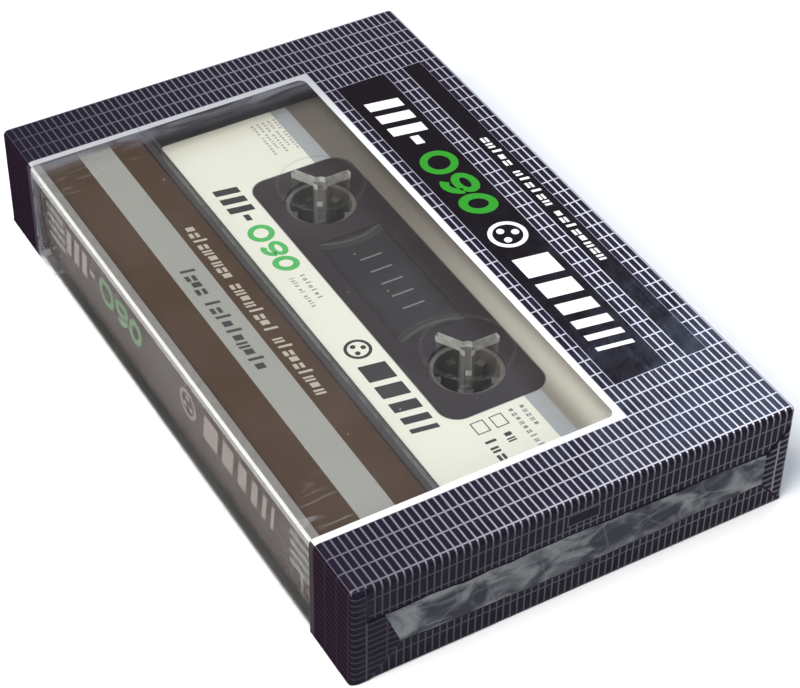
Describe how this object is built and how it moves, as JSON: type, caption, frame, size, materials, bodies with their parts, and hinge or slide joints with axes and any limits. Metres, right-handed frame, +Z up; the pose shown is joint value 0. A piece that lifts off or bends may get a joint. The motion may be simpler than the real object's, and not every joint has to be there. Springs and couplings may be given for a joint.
{
  "type": "compact audio cassette in hinged case",
  "caption": "Compact audio cassette in a clear hinged two-part case with hub lugs, folded card insert and a printed film overwrap.",
  "frame": {"origin": "centre of the wrapped case's bottom face, on the surface it lies on", "axes": "+X along the long side in reading direction, +Y from the spine to the opening edge, +Z up out of the lug side"},
  "size_m": [0.1094, 0.0688, 0.0174],
  "materials": {
    "film_print": "gloss printed film",
    "case_clear": "clear moulded polystyrene",
    "card": "printed card, brown with silver bands",
    "shell": "fine grained dark grey",
    "label": "printed cream paper",
    "pane": "clear grey window",
    "slip": "graphite coated sheet",
    "screw": "plated",
    "hub": "white acetal",
    "clamp": "white acetal",
    "tape": "dark brown coated tape",
    "roller": "white acetal",
    "pin": "polished",
    "pad": "felt",
    "leaf": "phosphor bronze leaf",
    "shield": "nickel iron plate"
  },
  "bodies": {
    "case": {"case_holder": "case_clear", "insert_card": "card", "shell_front": "shell", "shell_back": "shell", "label_a": "label", "label_b": "label", "window_a": "pane", "window_b": "pane", "slip_sheet_a": "slip", "slip_sheet_b": "slip", "screw_back_right": "screw", "screw_back_left": "screw", "screw_front_right": "screw", "screw_front_left": "screw", "screw_middle": "screw", "tape_run": "tape", "roller_pin_left": "pin", "roller_pin_right": "pin", "shield_plate": "shield"},
    "cover": {"case_cover": "case_clear"},
    "film_top": {"film_top_wrap": "film_print"},
    "film_spine": {"film_spine_wrap": "film_print", "film_base_sheet": "film_print"},
    "supply": {"hub_supply": "hub", "hub_clamp_supply": "clamp", "tape_pack_supply": "tape"},
    "takeup": {"hub_takeup": "hub", "hub_clamp_takeup": "clamp", "tape_pack_takeup": "tape"},
    "roller_left": {"guide_roller_left": "roller"},
    "roller_right": {"guide_roller_right": "roller"},
    "pad": {"pressure_pad": "pad", "pad_spring": "leaf"}
  },
  "joints": [
    {"name": "cover_hinge", "type": "hinge", "parent": "case", "child": "cover", "pos_m": [0, -0.0255, 0.0087], "axis": [1, 0, 0], "range_deg": [0, 105]},
    {"name": "film_top_lift", "type": "slide", "parent": "cover", "child": "film_top", "axis": [0, 0, 1], "range_m": [0, 0.06]},
    {"name": "film_spine_slide", "type": "slide", "parent": "case", "child": "film_spine", "axis": [0, -1, 0], "range_m": [0, 0.04]},
    {"name": "supply_turn", "type": "hinge", "parent": "case", "child": "supply", "pos_m": [-0.02125, 0.003, 0.0077], "axis": [0, 0, 1], "range_deg": [-3.5, 3.5]},
    {"name": "takeup_turn", "type": "hinge", "parent": "case", "child": "takeup", "pos_m": [0.02125, 0.003, 0.0077], "axis": [0, 0, 1], "range_deg": [-7.8, 7.8]},
    {"name": "roller_left_turn", "type": "hinge", "parent": "case", "child": "roller_left", "pos_m": [-0.0435, -0.0269, 0.0077], "axis": [0, 0, 1], "range_deg": [-26.5, 26.5]},
    {"name": "roller_right_turn", "type": "hinge", "parent": "case", "child": "roller_right", "pos_m": [0.0435, -0.0269, 0.0077], "axis": [0, 0, 1], "range_deg": [-26.5, 26.5]},
    {"name": "pad_push", "type": "slide", "parent": "case", "child": "pad", "axis": [0, 1, 0], "range_m": [0, 0.0008], "stiffness_N_per_m": 200}
  ],
  "couplings": [
    {"joint": "takeup_turn", "follows": "supply_turn", "ratio": 2.2105},
    {"joint": "roller_left_turn", "follows": "supply_turn", "ratio": 7.4118},
    {"joint": "roller_right_turn", "follows": "supply_turn", "ratio": 7.4118}
  ]
}
